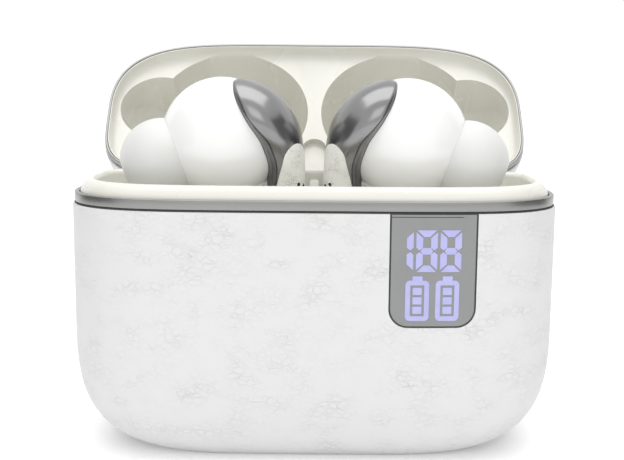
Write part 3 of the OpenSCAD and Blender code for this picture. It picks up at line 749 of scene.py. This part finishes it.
def smooth_row(table, u):
    """A row of the table at a fractional place, curving smoothly through the rows."""
    k = min(int(u), len(table) - 2)
    t = u - k
    rows = [table[max(k - 1, 0)], table[k], table[k + 1], table[min(k + 2, len(table) - 1)]]
    return [0.5 * (2 * b + (c - a) * t + (2 * a - 5 * b + 4 * c - d) * t * t + (3 * b - a - 3 * c + d) * t ** 3)
            for a, b, c, d in zip(*rows)]


def stem_section(row, turn, grow):
    """One point of the cover's section, rounder towards the middle and squarer over the head."""
    z, left, wide, right, depth = row
    c, s = math.cos(turn), math.sin(turn)
    square = min(max((z - 1.0) / 4, 0), 1) if c < 0 else 0
    power = 1 - 0.4 * square
    reach = (wide - left if c < 0 else right - wide) + grow
    x = wide + reach * math.copysign(abs(c) ** power, c)
    y = (depth + grow) * math.copysign(abs(s) ** power, s)
    return x, y, z


def close_loops(name, mesh, loops):
    """Joins rings of points into one closed piece."""
    around = len(loops[0])
    for below, above in zip(loops, loops[1:]):
        for i in range(around):
            mesh.faces.new((below[i], below[(i + 1) % around], above[(i + 1) % around], above[i]))
    mesh.faces.new(list(reversed(loops[0])))
    mesh.faces.new(loops[-1])
    data = bpy.data.meshes.new(name)
    mesh.to_mesh(data)
    mesh.free()
    piece = bpy.data.objects.new(name, data)
    scene.collection.objects.link(piece)
    return piece


def add_stem(name, grow, low=0.9):
    """The cover's closed body, raised section by section."""
    mesh = bmesh.new()
    around = 64
    rows = [smooth_row(stem_path, k / 4) for k in range(4 * (len(stem_path) - 1) + 1)]
    loops = []
    for n, row in enumerate(rows):
        lift = low if n == 0 else (grow if n == len(rows) - 1 else 0)
        loops.append([mesh.verts.new([v / 1000 if k < 2 else parting + (v + lift) / 1000
                                      for k, v in enumerate(stem_section(row, 2 * math.pi * i / around, grow))])
                      for i in range(around)])
    return close_loops(name, mesh, loops)


def add_stem_line(name, turn, bulge, half_turn):
    """The parting line: a narrow black strip let into the cover along its outer side, painted shade for the groove."""
    mesh = bmesh.new()
    rows = [smooth_row(stem_path, k / 4) for k in range(2, 4 * (len(stem_path) - 1) - 3)]
    corners = [(-half_turn, 0.015), (half_turn, 0.015), (half_turn, -0.2), (-half_turn, -0.2)]
    loops = []
    for row in rows:
        centre = turn + bulge * math.sin(math.pi * min(max(row[0] / 12, 0), 1))
        loops.append([mesh.verts.new([v / 1000 if k < 2 else parting + v / 1000
                                      for k, v in enumerate(stem_section(row, centre + away, grow))])
                      for away, grow in corners])
    return close_loops(name, mesh, loops)


def place_turned(piece, turn, place):
    """Turns a piece about the origin and moves it, with both kept in its mesh."""
    deselect()
    piece.select_set(True)
    bpy.context.view_layer.objects.active = piece
    piece.rotation_euler = turn
    piece.location = place
    bpy.ops.object.transform_apply(location=True, rotation=True, scale=True)


def add_port(name, radius, reach):
    """A short bar across the front of the stem at the microphone, turned towards the middle."""
    port = add_rod(name, radius, (0, -0.0035, 0), 0.0035 - reach, "Y", 32)
    place_turned(port, (0, 0, math.radians(39)), (-stem_x, 0, parting + 0.00075))
    return port


def mirror_piece(piece, name):
    """The right-hand copy of a left-hand piece, with its own mesh."""
    deselect()
    piece.select_set(True)
    bpy.context.view_layer.objects.active = piece
    bpy.ops.object.duplicate()
    copy = bpy.context.object
    copy.name = name
    bpy.ops.object.mode_set(mode="EDIT")
    bpy.ops.mesh.select_all(action="SELECT")
    bpy.ops.transform.resize(value=(-1, 1, 1), center_override=(0, 0, 0))
    bpy.ops.mesh.normals_make_consistent(inside=False)
    bpy.ops.object.mode_set(mode="OBJECT")
    return copy


def settle_pair(piece, name, finish, node, angle=35):
    """Finishes a left earbud piece and its right-hand copy."""
    copy = mirror_piece(piece, f"right_{name}")
    piece.name = f"left_{name}"
    settle(piece, "left_earbud", finish, (f"left_{node}",) if node else (), angle)
    settle(copy, "right_earbud", finish, (f"right_{node}",) if node else (), angle)


cover = add_stem("stem_chrome", 0)
cut_with(cover, add_port("port_hole", 0.00027, 0.0015))
settle_pair(cover, "stem_chrome", smoked_chrome, "stem_cover", 50)
# painted shade: a black strip stands for the shade in the parting-line groove
seam = add_stem_line("stem_seam_shade", math.radians(232), math.radians(33), 0.035)
settle_pair(seam, "stem_seam_shade", painted_edge_shade, None, 50)

# ---- Earbud inlays ----
# A long oval of white grained leatherette let into the front of each stem.
# It is bonded in a shallow pocket and stands a hair proud of the chrome.

inlay_leather = make_finish("inlay_leather", grain, {"Cells": 1500.0, "Folds": 500.0},
                            ((0.91, 0.905, 0.86), (0.80, 0.79, 0.74)), (0.45, 0.6), 0.0001,
                            {"Specular IOR Level": 0.35})
inlay = add_stem("inlay", 0.07)
oval = add_block("oval", (-0.002, -0.009, parting - 0.012), (0.002, -0.0009, parting + 0.0061))
round_edges(oval, lambda p, q: abs(p.y - q.y) > 0.001, 0.00199, 12)
place_turned(oval, (0, 0, math.radians(24)), (-stem_x, 0, 0))
cut_with(inlay, oval, "INTERSECT")
cut_with(inlay, add_port("port_hole", 0.00027, 0.0015))
settle_pair(inlay, "leather_inlay", inlay_leather, "inlay", 40)
sound_port = add_port("sound_port", 0.00026, 0.0017)
round_edges(sound_port, lambda p, q: (p - q).length < 0.0001, 0.00003, 2)
cut_with(sound_port, add_port("port_front", 0.0005, 0.0021))
settle_pair(sound_port, "sound_port", dark_mesh, "microphone", 40)

# ---- Earbud heads ----
# The glossy white round housing of each earbud with its short nozzle for the ear tip.
# It is cut back where the chrome cover lies in its surface.

white_gloss = make_finish("white_gloss", moulded, {"Mottle": 50.0, "Peel": 1200.0},
                          ((0.90, 0.90, 0.89), (0.88, 0.88, 0.87)), (0.1, 0.16), 0.000003,
                          {"Coat Weight": 0.3, "Coat Roughness": 0.05})
head_radius = 0.008
head_place = (-0.012, 0.0012, parting + 0.00635)
nozzle_radius = 0.0025
nozzle_bore = 0.0019
nozzle_turn = (0, math.radians(-109), math.radians(10))
deselect()
bpy.ops.mesh.primitive_uv_sphere_add(segments=96, ring_count=48, radius=head_radius, location=head_place)
head = bpy.context.object
bpy.ops.object.transform_apply(location=True)
cut_with(head, add_stem("cover_room", 0.04, 0))


nozzle = add_rod("nozzle", nozzle_radius, (0, 0, 0.0065), 0.0045, "Z", 48)
round_edges(nozzle, lambda p, q: p.z > 0.0109 and q.z > 0.0109, 0.0003, 3)
cut_with(nozzle, add_rod("bore", nozzle_bore, (0, 0, 0.009), 0.004, "Z", 48))
place_turned(nozzle, nozzle_turn, head_place)
head = join_pieces("head", [head, nozzle])
settle_pair(head, "head_shell", white_gloss, "head_housing", 40)

# ---- Ear tips ----
# Soft pale silicone domes pushed over the nozzles, with a thin skirt folded back towards the head.
# Each has a round mouth at the end where the sound comes out.

silicone = make_finish("silicone", moulded, {"Mottle": 120.0, "Peel": 2200.0},
                       ((0.70, 0.70, 0.685), (0.74, 0.74, 0.725)), (0.38, 0.48), 0.000004,
                       {"Subsurface Weight": 0.25, "Subsurface Radius": (0.002, 0.0018, 0.0016),
                        "Specular IOR Level": 0.35})
tip_radius = 0.0054
tip_skirt = 0.0062
tip_mouth = 0.01337
deselect()
bpy.ops.mesh.primitive_uv_sphere_add(segments=72, ring_count=48, radius=tip_radius, location=(0, 0, 0.00835))
tip = bpy.context.object
bpy.ops.object.transform_apply(location=True)
bpy.ops.object.mode_set(mode="EDIT")
bpy.ops.mesh.select_all(action="SELECT")
bpy.ops.mesh.bisect(plane_co=(0, 0, tip_skirt), plane_no=(0, 0, 1), clear_inner=True)
bpy.ops.mesh.select_all(action="SELECT")
bpy.ops.mesh.bisect(plane_co=(0, 0, tip_mouth), plane_no=(0, 0, 1), clear_outer=True)
bpy.ops.object.mode_set(mode="OBJECT")
apply_modifier(tip, "SOLIDIFY", {"thickness": 0.00055, "offset": -1, "use_even_offset": True})
place_turned(tip, nozzle_turn, head_place)
settle_pair(tip, "silicone_tip", silicone, "ear_tip", 60)

# ---- Stem ends ----
# White end caps close the stems and carry the two gold charging contacts.
# They are carried over from the frame and get the same glossy finish as the heads.

refinish(white_gloss, *both("stem_cap"))
